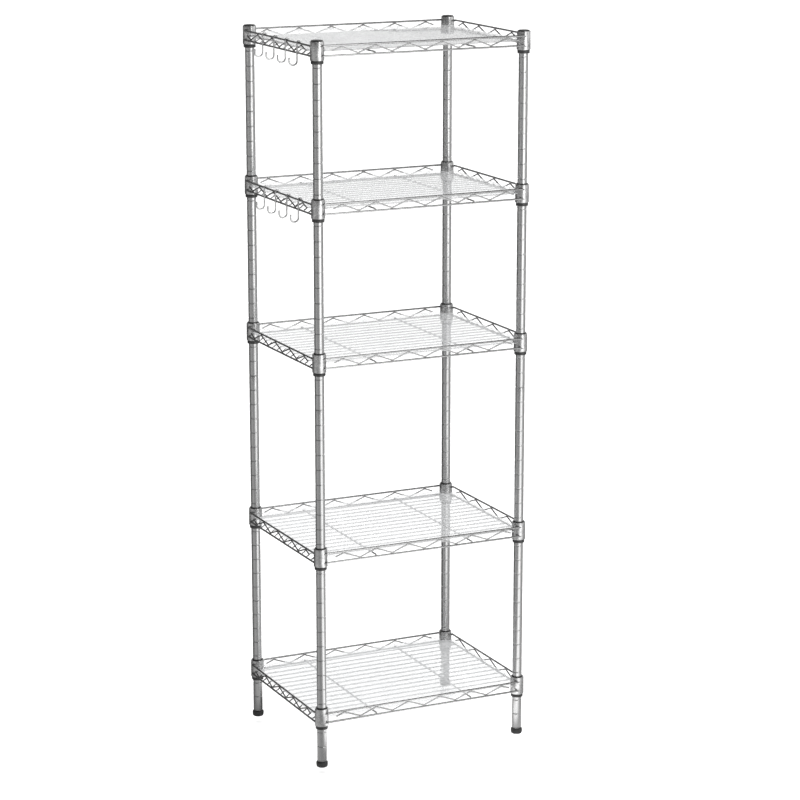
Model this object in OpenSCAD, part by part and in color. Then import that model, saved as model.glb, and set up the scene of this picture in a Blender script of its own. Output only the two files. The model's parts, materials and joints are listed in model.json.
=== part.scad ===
// Five-tier wire shelving rack: grooved round posts, wire shelves that wedge onto split sleeves,
// clear liners, hooks on the left rails and levelling feet. Millimetres, +Z up, front towards -Y.
// The origin is on the floor, under the middle of the rack's overall box.

/* [Rack] */
// Distance between the post axes along the width
span_x = 372; // [300:2:500]
// Distance between the post axes along the depth
span_y = 278; // [240:2:360]
// Distance between the grooves on the posts
groove_pitch = 25.4; // [24:0.2:28]
// Grooves between neighbouring shelves, from the lowest gap to the highest
tier_gaps = [11, 13, 10, 10]; // [8:1:14]
// Grooves between the bottom of the posts and the lowest shelf
lowest_groove = 3; // [2:1:5]

/* [Posts] */
// Outer diameter of the posts
post_d = 16; // [15:0.5:17]
// Wall of the posts
post_wall = 1.2; // [1:0.1:1.6]
// Depth of the grooves
groove_depth = 0.5; // [0.3:0.1:0.6]

/* [Sleeves and collars] */
// Height of the welded collars
collar_h = 31; // [28:0.5:34]
// Outer diameter of a collar at its lower rim
collar_d_low = 23.4; // [23:0.1:24.4]
// Outer diameter of a collar at its upper rim
collar_d_high = 22.9; // [22.4:0.1:23]
// Height of the sleeve's ring that shows under the collar
ring_h = 5.5; // [4:0.5:8]
// How far the sleeve stands out above the collar
sleeve_lip = 1.5; // [0.5:0.5:3]

/* [Shelf wires] */
// Diameter of the rail wires
rail_d = 3.3; // [3:0.1:3.6]
// Diameter of the zigzag wires
zigzag_d = 2.5; // [2.2:0.1:2.8]
// Diameter of the two cross wires
cross_d = 2.8; // [2.4:0.1:3.2]
// Diameter of the deck wires
deck_d = 2.4; // [2:0.1:2.8]
// Number of deck wires
deck_count = 14; // [10:2:14]
// Distance between the deck wires
deck_pitch = 19.3; // [16:0.1:19.3]
// Distance between the peaks of a zigzag
zigzag_pitch = 59.7; // [50:0.1:60]
// Depth of the upper rail below the collar's upper rim
rail_drop = 7; // [6:0.5:9]
// Distance between the upper and the lower rail
rail_gap = 16; // [15:0.5:18]

/* [Liners] */
// Thickness of the clear liners
liner_t = 1; // [0.8:0.1:1.5]
// Gap between a liner's edge and the rails
liner_gap = 3; // [2:0.5:6]

/* [Hooks] */
// Diameter of the hook wire
hook_d = 2.8; // [2.4:0.1:3]
// Distance between the hooks
hook_pitch = 47; // [40:1:55]
// Height of a hook from its top to its lowest point
hook_h = 41; // [36:1:50]
// Inside width of the open hook at the bottom
hook_mouth = 11; // [8:0.5:14]

/* [Feet] */
// Outer diameter of a foot pad
pad_d = 19.8; // [18:0.2:24]
// Height of a foot pad
pad_h = 9.5; // [8:0.5:12]

/* [Hidden] */
SHELVES = 5;

// Clearances and weld bites
running = 0.05;     // radial clearance of what slides or turns
snug = 0.02;        // radial clearance of what is pressed in and stays
weld = 0.1;         // how deep two welded wires bite into each other
hook_play = 0.1;    // radial play of a hook on its rail

// Feet and posts
washer_t = 1.2;
washer_d = 13;
stud_d = 6;
stud_in_pad = 6.5;
plug_flange_t = 1;
plug_len = 20;
washer_z = pad_h + running;
plug_z = washer_z + washer_t + running;
post_z = plug_z + plug_flange_t;
post_r = post_d / 2;
bore_r = post_r - post_wall;
groove_half = 1.2;
groove_flat = 0.4;

// Groove and shelf levels. Shelf 1 is the top one.
first_groove_z = post_z;
tier_sum = [0, tier_gaps[0], tier_gaps[0] + tier_gaps[1], tier_gaps[0] + tier_gaps[1] + tier_gaps[2],
    tier_gaps[0] + tier_gaps[1] + tier_gaps[2] + tier_gaps[3]];
shelf_groove = [for (i = [0:SHELVES - 1]) lowest_groove + tier_sum[SHELVES - 1 - i]];
joint_groove = round(shelf_groove[0] / 2);
rib_rise = 20;      // the sleeve's inner rib above the sleeve's foot
sleeve_h = ring_h + collar_h + sleeve_lip;
post_top_z = groove_z(shelf_groove[0]) - rib_rise + ring_h + collar_h;
joint_z = groove_z(joint_groove);
joint_flange_t = 0.8;
cap_t = 1.9;

// Sleeve cone, followed by the inside of the collar
ring_r = 10.3;
cone_r_low = 10;
cone_r_high = 9.7;
sleeve_split = 0.6;

// Truss planes: the rails are welded to the collars' outer faces just short of the post axes
rail_r = rail_d / 2;
rail_short = 5;
collar_r_rail = (collar_d_high + (collar_d_low - collar_d_high) * rail_drop / collar_h) / 2;
rail_off = sqrt(pow(collar_r_rail, 2) - pow(rail_short, 2)) + rail_r - weld;
truss_x = span_x / 2 + rail_off;
truss_y = span_y / 2 + rail_off;
zigzag_bend = 5;
long_half_waves = 10;
short_half_waves = 7;
wire_fn = 24;
bend_tuck = 2;      // degrees that each end of a bend reaches into the straight wire
bend_under = 0.02;  // how much thinner a bend is than the straight wire, so that its ends lie inside it

// Deck levels above the lower rail's axis. The deck wires end just inside the zigzags.
cross_rise = rail_r + cross_d / 2 - weld;
deck_rise = cross_rise + cross_d / 2 + deck_d / 2 + snug;
deck_end_in = zigzag_d / 2 + weld;
deck_end_rise = sqrt(pow(rail_r, 2) - pow(deck_end_in, 2)) + deck_d / 2 - weld;
deck_bend = 4;
liner_rise = deck_rise + deck_d / 2 + running;
cross_x = 1.5 * zigzag_pitch;

// Hooks
hook_r = hook_d / 2;
loop_r = rail_r + hook_play + hook_r;
mouth_r = (hook_mouth + hook_d) / 2;
loop_past = 20;
stem_len = hook_h - loop_r - mouth_r - hook_d;
tip_len = 6;
hook_reach = loop_r + 2 * mouth_r + hook_r;
hook_first_y = -94;

// Moves the rack so that its overall box, hooks included, is centred on the origin
shift_x = (hook_reach - rail_r) / 2;

function groove_z(n) = first_groove_z + n * groove_pitch;
function sleeve_z(shelf) = groove_z(shelf_groove[shelf - 1]) - rib_rise;
function collar_z(shelf) = sleeve_z(shelf) + ring_h + running;
function upper_rail_z(shelf) = collar_z(shelf) + collar_h - rail_drop;
function lower_rail_z(shelf) = upper_rail_z(shelf) - rail_gap;
function heading(a, b) = atan2(b[1] - a[1], b[0] - a[0]);
function turn(pts, i) = let (t = heading(pts[i], pts[i + 1]) - heading(pts[i - 1], pts[i]))
    t > 180 ? t - 360 : t < -180 ? t + 360 : t;
function is_bend(pts, i) = i > 0 && i < len(pts) - 1;
function trim(pts, i, bend) = is_bend(pts, i) ? bend * tan(abs(turn(pts, i)) / 2) : 0;
function along(p, a, d) = [p[0] + d * cos(a), p[1] + d * sin(a)];

// Centres of the four posts: 0 front left, 1 front right, 2 back left, 3 back right
function corner_at(i) = [(i % 2 == 0 ? -1 : 1) * span_x / 2, (i < 2 ? -1 : 1) * span_y / 2, 0];

// Wire that follows a flat path of points in XY, with every corner rounded to the bend radius
module wire_path(pts, bend, d) {
    for (i = [0:len(pts) - 2]) {
        a = heading(pts[i], pts[i + 1]);
        start = along(pts[i], a, trim(pts, i, bend));
        stop = along(pts[i + 1], a, -trim(pts, i + 1, bend));
        translate([start[0], start[1], 0])
            rotate([0, 90, a])
                cylinder(h = norm(stop - start), d = d, $fn = wire_fn);
    }
    for (i = [1:len(pts) - 2]) {
        t = turn(pts, i);
        side = t > 0 ? 1 : -1;
        a = heading(pts[i - 1], pts[i]);
        start = along(pts[i], a, -trim(pts, i, bend));
        centre = along(start, a + side * 90, bend);
        translate([centre[0], centre[1], 0])
            rotate([0, 0, (side > 0 ? a - 90 : a + 90 + t) - bend_tuck])
                rotate_extrude(angle = abs(t) + 2 * bend_tuck, $fn = 48)
                    translate([bend, 0])
                        circle(d = d - bend_under, $fn = wire_fn);
    }
}

// Straight wire along X between two x values, at a place in Y and Z
module wire_x(x_from, x_to, y, z, d) {
    translate([x_from, y, z])
        rotate([0, 90, 0])
            cylinder(h = x_to - x_from, d = d, $fn = wire_fn);
}

// Straight wire along Y between two y values, at a place in X and Z
module wire_y(y_from, y_to, x, z, d) {
    translate([x, y_from, z])
        rotate([-90, 0, 0])
            cylinder(h = y_to - y_from, d = d, $fn = wire_fn);
}

module at_corners() {
    for (i = [0:3])
        translate([shift_x, 0, 0] + corner_at(i))
            children();
}

// Grooved tube from one level to the next, with a groove at each level that lies inside it
module tube(z_from, z_to, grooves) {
    rotate_extrude($fn = 64)
        polygon(concat(
            [[bore_r, z_from], [post_r - groove_depth, z_from], [post_r, z_from + groove_half - groove_flat]],
            [for (n = grooves, p = [
                [0, -groove_half], [groove_depth, -groove_flat],
                [groove_depth, groove_flat], [0, groove_half]])
                [post_r - p[0], groove_z(n) + p[1]]],
            [[post_r, z_to - groove_half + groove_flat], [post_r - groove_depth, z_to], [bore_r, z_to]]));
}

module post_lower(corner) {
    color("silver")
        translate([shift_x, 0, 0] + corner_at(corner))
            tube(post_z, joint_z - joint_flange_t / 2, [for (n = [1:joint_groove - 1]) n]);
}

module post_upper(corner) {
    color("silver")
        translate([shift_x, 0, 0] + corner_at(corner))
            tube(joint_z + joint_flange_t / 2, post_top_z, [for (n = [joint_groove + 1:shelf_groove[0]]) n]);
}

// Threaded pin inside the post, with a thin flange clamped between the two tubes
module post_joiners() {
    pin_half = 22;
    color("gray")
        at_corners()
            translate([0, 0, joint_z])
                union() {
                    translate([0, 0, -pin_half])
                        cylinder(h = 2 * pin_half, r = bore_r - snug, $fn = 48);
                    translate([0, 0, -joint_flange_t / 2])
                        cylinder(h = joint_flange_t, r = post_r - groove_depth, $fn = 48);
                }
}

// Closes the post's upper end: a low dome with a plug that reaches into the tube
module post_caps() {
    plug_depth = 12;
    color("#1a1a1a")
        at_corners()
            translate([0, 0, post_top_z])
                rotate_extrude($fn = 64)
                    polygon([[0, -plug_depth], [bore_r - 1, -plug_depth], [bore_r - snug, 1 - plug_depth],
                        [bore_r - snug, 0], [post_r, 0], [post_r, cap_t - 1], [post_r - 0.4, cap_t - 0.4],
                        [post_r - 1.4, cap_t], [0, cap_t]]);
}

// Threaded plug in the post's lower end, which takes the levelling stud
module foot_inserts() {
    stud_bore_r = stud_d / 2 + running;
    color("gray")
        at_corners()
            translate([0, 0, post_z])
                rotate_extrude($fn = 64)
                    polygon([[stud_bore_r, -plug_flange_t], [post_r - 0.3, -plug_flange_t], [post_r - 0.3, 0],
                        [bore_r - snug, 0], [bore_r - snug, plug_len], [stud_bore_r, plug_len]]);
}

// One half of a split sleeve: a ring at the foot, a cone above it and a rib inside that sits in a groove
module half_sleeve() {
    rib_in = groove_depth - 0.1;
    rib_half = 0.9;
    inner = post_r + snug;
    intersection() {
        rotate_extrude($fn = 64)
            polygon([[inner, 0], [ring_r - 1, 0], [ring_r, 1], [ring_r, ring_h - 0.2], [ring_r - 0.2, ring_h],
                [cone_r_low, ring_h], [cone_r_high, sleeve_h - 0.6], [cone_r_high - 0.6, sleeve_h],
                [inner, sleeve_h], [inner, rib_rise + rib_half], [post_r - rib_in, rib_rise + rib_half / 3],
                [post_r - rib_in, rib_rise - rib_half / 3], [inner, rib_rise - rib_half]]);
        translate([-ring_r - 1, sleeve_split / 2, -1])
            cube([2 * ring_r + 2, ring_r + 1, sleeve_h + 2]);
    }
}

module sleeves(shelf) {
    color("#202020")
        at_corners()
            translate([0, 0, sleeve_z(shelf)])
                for (a = [0, 180])
                    rotate([0, 0, a])
                        half_sleeve();
}

// Tapered collars at the shelf's corners, which wedge onto the sleeves
module shelf_collars(shelf) {
    edge = 0.5;
    slope = (cone_r_low - cone_r_high) / (sleeve_h - ring_h);
    in_low = cone_r_low + running;
    in_high = in_low - slope * collar_h;
    color("lightgray")
        at_corners()
            translate([0, 0, collar_z(shelf)])
                rotate_extrude($fn = 64)
                    polygon([[in_low, 0], [collar_d_low / 2 - edge, 0], [collar_d_low / 2, edge],
                        [collar_d_high / 2, collar_h - edge], [collar_d_high / 2 - edge, collar_h],
                        [in_high, collar_h]]);
}

// Upper and lower rail wire on each of the four sides
module shelf_rails(shelf) {
    x_end = span_x / 2 - rail_short;
    y_end = span_y / 2 - rail_short;
    color("silver")
        translate([shift_x, 0, 0])
            for (z = [upper_rail_z(shelf), lower_rail_z(shelf)], side = [-1, 1]) {
                wire_x(-x_end, x_end, side * truss_y, z, rail_d);
                wire_y(-y_end, y_end, side * truss_x, z, rail_d);
            }
}

// Zigzag in XY about y = 0, with a half wave between corners and a short cut end on each side
module zigzag(half_waves, first_up) {
    half = zigzag_pitch / 2;
    apex = rail_gap / 2 - rail_r - zigzag_d / 2 + weld;
    corner = apex + zigzag_bend * (1 / cos(atan(2 * apex / half)) - 1);
    start = -half * half_waves / 2;
    wire_path(concat(
        [[start - half / 2, 0]],
        [for (i = [0:half_waves]) [start + i * half, ((i % 2 == 0) == first_up ? 1 : -1) * corner]],
        [[start + (half_waves + 0.5) * half, 0]]), zigzag_bend, zigzag_d);
}

module shelf_zigzags(shelf) {
    z = (upper_rail_z(shelf) + lower_rail_z(shelf)) / 2;
    color("silver")
        translate([shift_x, 0, z]) {
            for (side = [-1, 1])
                translate([0, side * truss_y, 0])
                    rotate([90, 0, 0])
                        zigzag(long_half_waves, true);
            translate([-truss_x, 0, 0])
                rotate([90, 0, 90])
                    zigzag(short_half_waves, true);
            translate([truss_x, 0, 0])
                rotate([90, 0, 90])
                    zigzag(short_half_waves, false);
        }
}

// Deck wires along X on two cross wires, with their ends bent down onto the lower side rails
module shelf_deck(shelf) {
    end = truss_x - deck_end_in;
    knee = truss_x - 3.4;
    ramp = 4;
    cross_past = 1;
    color("silver")
        translate([shift_x, 0, lower_rail_z(shelf)]) {
            for (side = [-1, 1])
                wire_y(-truss_y - cross_past, truss_y + cross_past, side * cross_x, cross_rise, cross_d);
            for (i = [0:deck_count - 1])
                translate([0, (i - (deck_count - 1) / 2) * deck_pitch, 0])
                    rotate([90, 0, 0])
                        wire_path([[-end, deck_end_rise], [-knee, deck_end_rise], [ramp - knee, deck_rise],
                            [knee - ramp, deck_rise], [knee, deck_end_rise], [end, deck_end_rise]],
                            deck_bend, deck_d);
        }
}

// Clear sheet on the deck wires, cut out round the collars
module liner(shelf) {
    size_x = 2 * (truss_x - rail_r - liner_gap);
    size_y = 2 * (truss_y - rail_r - liner_gap);
    cut_r = collar_d_low / 2 + liner_gap;
    color("white", 0.5)
        translate([0, 0, lower_rail_z(shelf) + liner_rise])
            difference() {
                translate([shift_x - size_x / 2, -size_y / 2, 0])
                    cube([size_x, size_y, liner_t]);
                at_corners()
                    translate([0, 0, -1])
                        cylinder(h = liner_t + 2, r = cut_r, $fn = 48);
            }
}

// Wire hook in XZ, with its loop round the origin and its open side towards -X
module hook_shape() {
    mouth_x = -loop_r - mouth_r;
    rotate([90, 0, 0])
        union() {
            rotate([0, 0, -loop_past])
                rotate_extrude(angle = 180 + loop_past, $fn = 48)
                    translate([loop_r, 0])
                        circle(r = hook_r, $fn = wire_fn);
            translate([-loop_r, 0, 0])
                rotate([90, 0, 0])
                    cylinder(h = stem_len, r = hook_r, $fn = wire_fn);
            translate([mouth_x, -stem_len, 0])
                rotate([0, 0, 180])
                    rotate_extrude(angle = 180, $fn = 48)
                        translate([mouth_r, 0])
                            circle(r = hook_r, $fn = wire_fn);
            translate([mouth_x - mouth_r, -stem_len, 0])
                rotate([-90, 0, 0])
                    cylinder(h = tip_len, r = hook_r, $fn = wire_fn);
        }
}

// Hooks 1 to 4 hang on shelf 1 and hooks 5 to 8 on shelf 2, each row from front to back
module hook(number) {
    shelf = number <= 4 ? 1 : 2;
    place = (number - 1) % 4;
    color("lightgray")
        translate([shift_x - truss_x, hook_first_y + place * hook_pitch, upper_rail_z(shelf)])
            hook_shape();
}

// Levelling stud: a journal inside the pad, a washer on it and the thread in the post's plug
module foot_stud(corner) {
    stud_top = post_z + plug_len - 2;
    color("silver")
        translate([shift_x, 0, 0] + corner_at(corner))
            rotate_extrude($fn = 64)
                polygon([[0, pad_h - stud_in_pad], [stud_d / 2, pad_h - stud_in_pad], [stud_d / 2, washer_z],
                    [washer_d / 2, washer_z], [washer_d / 2, washer_z + washer_t],
                    [stud_d / 2, washer_z + washer_t], [stud_d / 2, stud_top - 1], [stud_d / 2 - 1, stud_top],
                    [0, stud_top]]);
}

// Round pad with a blind bore for the stud's journal
module foot_pad(corner) {
    r = pad_d / 2;
    low = 2;
    high = 1;
    bore = stud_d / 2 + running;
    color("#1a1a1a")
        translate([shift_x, 0, 0] + corner_at(corner))
            rotate_extrude($fn = 64)
                polygon(concat(
                    [[0, 0]],
                    [for (a = [-90:22.5:0]) [r - low + low * cos(a), low + low * sin(a)]],
                    [for (a = [0:22.5:90]) [r - high + high * cos(a), pad_h - high + high * sin(a)]],
                    [[bore, pad_h], [bore, pad_h - stud_in_pad - running],
                        [0, pad_h - stud_in_pad - running]]));
}

post_lower(0);  // post_front_left_lower
post_upper(0);  // post_front_left_upper
post_lower(1);  // post_front_right_lower
post_upper(1);  // post_front_right_upper
post_lower(2);  // post_back_left_lower
post_upper(2);  // post_back_left_upper
post_lower(3);  // post_back_right_lower
post_upper(3);  // post_back_right_upper
post_joiners();
post_caps();
foot_inserts();
sleeves(1);  // sleeves_shelf_1
sleeves(2);  // sleeves_shelf_2
sleeves(3);  // sleeves_shelf_3
sleeves(4);  // sleeves_shelf_4
sleeves(5);  // sleeves_shelf_5
shelf_collars(1);  // shelf_1_collars
shelf_rails(1);  // shelf_1_rails
shelf_zigzags(1);  // shelf_1_zigzags
shelf_deck(1);  // shelf_1_deck
shelf_collars(2);  // shelf_2_collars
shelf_rails(2);  // shelf_2_rails
shelf_zigzags(2);  // shelf_2_zigzags
shelf_deck(2);  // shelf_2_deck
shelf_collars(3);  // shelf_3_collars
shelf_rails(3);  // shelf_3_rails
shelf_zigzags(3);  // shelf_3_zigzags
shelf_deck(3);  // shelf_3_deck
shelf_collars(4);  // shelf_4_collars
shelf_rails(4);  // shelf_4_rails
shelf_zigzags(4);  // shelf_4_zigzags
shelf_deck(4);  // shelf_4_deck
shelf_collars(5);  // shelf_5_collars
shelf_rails(5);  // shelf_5_rails
shelf_zigzags(5);  // shelf_5_zigzags
shelf_deck(5);  // shelf_5_deck
liner(1);  // liner_1
liner(2);  // liner_2
liner(3);  // liner_3
liner(4);  // liner_4
liner(5);  // liner_5
hook(1);  // hook_1
hook(2);  // hook_2
hook(3);  // hook_3
hook(4);  // hook_4
hook(5);  // hook_5
hook(6);  // hook_6
hook(7);  // hook_7
hook(8);  // hook_8
foot_stud(0);  // foot_front_left_stud
foot_stud(1);  // foot_front_right_stud
foot_stud(2);  // foot_back_left_stud
foot_stud(3);  // foot_back_right_stud
foot_pad(0);  // foot_front_left_pad
foot_pad(1);  // foot_front_right_pad
foot_pad(2);  // foot_back_left_pad
foot_pad(3);  // foot_back_right_pad
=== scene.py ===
"""Looks for the wire shelving rack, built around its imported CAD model.

Metres, +Z up, front towards -Y. Shelf 1 is the top one.
"""

import json
import math
import random

import bmesh
import bpy
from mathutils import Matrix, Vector, noise


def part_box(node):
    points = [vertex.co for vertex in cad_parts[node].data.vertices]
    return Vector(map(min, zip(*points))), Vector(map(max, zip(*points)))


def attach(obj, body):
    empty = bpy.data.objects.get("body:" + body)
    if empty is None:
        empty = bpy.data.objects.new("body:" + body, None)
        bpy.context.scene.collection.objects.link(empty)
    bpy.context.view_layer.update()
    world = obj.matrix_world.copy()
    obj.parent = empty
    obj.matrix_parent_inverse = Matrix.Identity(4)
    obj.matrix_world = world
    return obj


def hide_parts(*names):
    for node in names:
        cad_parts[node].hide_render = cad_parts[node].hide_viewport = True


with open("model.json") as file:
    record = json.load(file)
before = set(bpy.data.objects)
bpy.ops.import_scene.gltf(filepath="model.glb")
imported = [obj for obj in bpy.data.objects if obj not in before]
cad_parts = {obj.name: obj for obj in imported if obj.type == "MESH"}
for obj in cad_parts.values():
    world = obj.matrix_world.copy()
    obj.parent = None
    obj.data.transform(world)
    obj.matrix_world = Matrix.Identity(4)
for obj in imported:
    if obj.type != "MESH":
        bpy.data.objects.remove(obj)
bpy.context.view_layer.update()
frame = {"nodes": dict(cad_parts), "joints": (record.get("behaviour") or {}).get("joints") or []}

MM = 0.001
FULL_TURN = 2 * math.pi
SHELVES = range(1, 6)
CORNERS = ("front_left", "front_right", "back_left", "back_right")
SIDES = (-1, 1)

# Sizes that the CAD boxes don't give by themselves
RAIL_R = 1.65 * MM
ZIGZAG_R = 1.25 * MM
CROSS_R = 1.4 * MM
DECK_R = 1.2 * MM
HOOK_R = 1.4 * MM
POST_R = 8 * MM
POST_WALL = 1.2 * MM
GROOVE_PITCH = 25.4 * MM
ZIGZAG_PITCH = 59.7 * MM
ZIGZAG_BEND = 5 * MM
ZIGZAG_HALF_WAVES = {"long": 10, "short": 7}
CROSS_X = 1.5 * ZIGZAG_PITCH
DECK_COUNT = 14
DECK_PITCH = 19.3 * MM
DECK_BEND = 4 * MM
DECK_KNEE = 3.4 * MM
DECK_RAMP = 4 * MM
COLLAR_R = 11.7 * MM
LINER_GAP = 3 * MM
THREAD_PITCH = 1 * MM

# How far two wires bite into each other at a weld
BITE = 0.1 * MM

# Angles of the points on a quarter round
QUARTER = (0.0, 0.4, 0.8, 1.2, math.pi / 2)


# ---------------------------------------------------------------- mesh tools


def centre(node):
    low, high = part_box(node)
    return (low + high) / 2


def post_axis(corner):
    return centre(f"post_{corner}_upper")


def arc_points(start, corner, end, bend, steps=7):
    """Points of the round bend that replaces a corner of a wire's path."""
    before = (start - corner).normalized()
    after = (end - corner).normalized()
    half = before.angle(after) / 2
    middle = corner + (before + after).normalized() * bend / math.sin(half)
    first = corner + before * bend / math.tan(half)
    last = corner + after * bend / math.tan(half)
    first_spoke = (first - middle).normalized()
    last_spoke = (last - middle).normalized()
    return [middle + first_spoke.slerp(last_spoke, i / steps) * bend for i in range(steps + 1)]


def rounded(corners, bend):
    """A wire's path through its corners, each rounded to the bend radius."""
    path = [corners[0]]
    for a, b, c in zip(corners, corners[1:], corners[2:]):
        path += arc_points(a, b, c, bend)
    return path + [corners[-1]]


def ring(mesh, point, tangent, normal, radius, sides):
    across = tangent.cross(normal)
    angles = [FULL_TURN * i / sides for i in range(sides)]
    spokes = [normal * math.cos(a) + across * math.sin(a) for a in angles]
    return [mesh.verts.new(point + spoke * radius) for spoke in spokes]


def bridge(mesh, rings):
    for low, high in zip(rings, rings[1:]):
        for i in range(len(low)):
            j = (i + 1) % len(low)
            mesh.faces.new((low[i], low[j], high[j], high[i]))
    mesh.faces.new(rings[0][::-1])
    mesh.faces.new(rings[-1])


# Points of a wire's end, as shares of its radius: in from the end, and out from the middle
CUT_END = ((0, 0.82),)
CUT_REACH = 0.18
DOMED_END = tuple((1 - math.cos(a), math.sin(a)) for a in (0.25, 0.6, 1.0, 1.3))
DOMED_REACH = 1


def wire(mesh, path, radius, sides=14, dome=False):
    """A wire along a path, with cut ends that have a small chamfer, or domed ends."""
    path = [Vector(p) for p in path]
    steps = [(b - a).normalized() for a, b in zip(path, path[1:])]
    bends = [(a + b).normalized() for a, b in zip(steps, steps[1:])]
    first, last = steps[0], steps[-1]
    ends = DOMED_END if dome else CUT_END
    reach = radius * (DOMED_REACH if dome else CUT_REACH)
    normal = first.orthogonal().normalized()
    rings = []
    for depth, width in ends:
        place = path[0] + first * depth * radius
        rings.append(ring(mesh, place, first, normal, width * radius, sides))
    rings.append(ring(mesh, path[0] + first * reach, first, normal, radius, sides))
    for point, tangent in zip(path[1:-1], bends):
        normal = (normal - tangent * normal.dot(tangent)).normalized()
        rings.append(ring(mesh, point, tangent, normal, radius, sides))
    normal = (normal - last * normal.dot(last)).normalized()
    rings.append(ring(mesh, path[-1] - last * reach, last, normal, radius, sides))
    for depth, width in reversed(ends):
        place = path[-1] - last * depth * radius
        rings.append(ring(mesh, place, last, normal, width * radius, sides))
    bridge(mesh, rings)


def edge(radius, end, points, way):
    """Profile points, each given as millimetres in from the wall and along from the end."""
    return [(radius - inset * MM, end + way * along * MM) for inset, along in points]


def round_to_wall(radius, z, edge_r, way, angles):
    """Profile points of a round edge, from its level face out to the wall."""
    return [(radius - edge_r * (1 - math.sin(a)), z + way * edge_r * (1 - math.cos(a))) for a in angles]


def round_from_wall(radius, z, edge_r, angles):
    """Profile points of a round upper edge, from the wall in to its level face."""
    return [(radius - edge_r * (1 - math.cos(a)), z - edge_r * (1 - math.sin(a))) for a in angles]


def lathe(mesh, profile, axis, segments, closed=False, span=(0, FULL_TURN)):
    """A profile of (radius, height) points turned round a vertical axis, all the way or over a part."""
    start, stop = span
    whole = stop - start > FULL_TURN - 1e-6
    columns = []
    for i in range(segments if whole else segments + 1):
        a = start + (stop - start) * i / segments
        spots = [(axis[0] + r * math.cos(a), axis[1] + r * math.sin(a), z) for r, z in profile]
        columns.append([mesh.verts.new(spot) for spot in spots])
    pairs = list(zip(columns, columns[1:]))
    if whole:
        pairs.append((columns[-1], columns[0]))
    steps = len(profile) if closed else len(profile) - 1
    for one, two in pairs:
        for j in range(steps):
            k = (j + 1) % len(profile)
            mesh.faces.new((one[j], two[j], two[k], one[k]))
    if not whole:
        mesh.faces.new(columns[0])
        mesh.faces.new(columns[-1][::-1])


# How uneven a weld bead is, as a share of its size, the scale of its lumps, and how far the beads'
# places in the noise are spread
LUMP = 0.18
LUMP_SCALE = 1.7
LUMP_SPREAD = 50

# The place of the weld metal among a piece's materials
WELD_MATERIAL = 1


def bead(mesh, place, size, dice):
    """A small uneven lump of weld metal."""
    made = bmesh.ops.create_icosphere(mesh, subdivisions=2, radius=1)
    seed = Vector((dice.random(), dice.random(), dice.random())) * LUMP_SPREAD
    for vert in made["verts"]:
        lump = 1 + LUMP * noise.noise(vert.co * LUMP_SCALE + seed)
        vert.co = Vector(place) + Vector(c * s for c, s in zip(vert.co * lump, size))
        for face in vert.link_faces:
            face.material_index = WELD_MATERIAL


def piece(name, mesh, materials, body, nodes, sharp=38):
    """Turns a bmesh into a named piece that rides on a body and stands for CAD nodes."""
    bmesh.ops.remove_doubles(mesh, verts=mesh.verts, dist=1e-7)
    bmesh.ops.recalc_face_normals(mesh, faces=mesh.faces)
    data = bpy.data.meshes.new(name)
    mesh.to_mesh(data)
    mesh.free()
    data.shade_smooth()
    data.set_sharp_from_angle(angle=math.radians(sharp))
    for material in materials:
        data.materials.append(material)
    made = bpy.data.objects.new(name, data)
    bpy.context.scene.collection.objects.link(made)
    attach(made, body)
    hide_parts(*nodes)


# ---------------------------------------------------------------- materials


class Nodes:
    """Short names for building one material's node tree."""

    def __init__(self, name):
        self.material = bpy.data.materials.new(name)
        self.material.use_nodes = True
        self.tree = self.material.node_tree
        self.shader = self.tree.nodes["Principled BSDF"]
        self.place = self.tree.nodes.new("ShaderNodeTexCoord").outputs["Object"]

    def link(self, source, target):
        self.tree.links.new(source, target)

    def drive(self, source, socket):
        """Feeds one of the shader's sockets."""
        self.link(source, self.shader.inputs[socket])

    def noise(self, scale, detail, stretch=None):
        node = self.tree.nodes.new("ShaderNodeTexNoise")
        node.inputs["Scale"].default_value = scale
        node.inputs["Detail"].default_value = detail
        node.inputs["Roughness"].default_value = 0.5
        place = self.place
        if stretch:
            mapping = self.tree.nodes.new("ShaderNodeMapping")
            mapping.inputs["Scale"].default_value = stretch
            self.link(self.place, mapping.inputs["Vector"])
            place = mapping.outputs["Vector"]
        self.link(place, node.inputs["Vector"])
        return node.outputs["Fac"]

    def cells(self, scale):
        node = self.tree.nodes.new("ShaderNodeTexVoronoi")
        node.inputs["Scale"].default_value = scale
        self.link(self.place, node.inputs["Vector"])
        return node.outputs["Color"]

    def ramp(self, source, stops):
        return filled_ramp(self.tree, source, stops)

    def multiply(self, one, two):
        return multiplied(self.tree, one, two)

    def bump(self, heights):
        """Stacks bumps of (source, strength, distance)."""
        normal = None
        for source, strength, distance in heights:
            node = self.tree.nodes.new("ShaderNodeBump")
            node.inputs["Strength"].default_value = strength
            node.inputs["Distance"].default_value = distance
            self.link(source, node.inputs["Height"])
            if normal:
                self.link(normal, node.inputs["Normal"])
            normal = node.outputs["Normal"]
        self.drive(normal, "Normal")

    def set(self, **values):
        for name, value in values.items():
            self.shader.inputs[name.replace("_", " ")].default_value = value


def filled_ramp(tree, source, stops):
    """A colour ramp with stops of (position, grey) or (position, colour)."""
    node = tree.nodes.new("ShaderNodeValToRGB")
    elements = node.color_ramp.elements
    while len(elements) < len(stops):
        elements.new(0.5)
    for element, (position, value) in zip(elements, stops):
        colour = value if isinstance(value, tuple) else (value, value, value)
        element.position = position
        element.color = (*colour, 1)
    tree.links.new(source, node.inputs["Fac"])
    return node.outputs["Color"]


def multiplied(tree, one, two):
    node = tree.nodes.new("ShaderNodeMix")
    node.data_type = "RGBA"
    node.blend_type = "MULTIPLY"
    node.inputs[0].default_value = 1
    tree.links.new(one, node.inputs[6])
    tree.links.new(two, node.inputs[7])
    return node.outputs[2]


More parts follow.
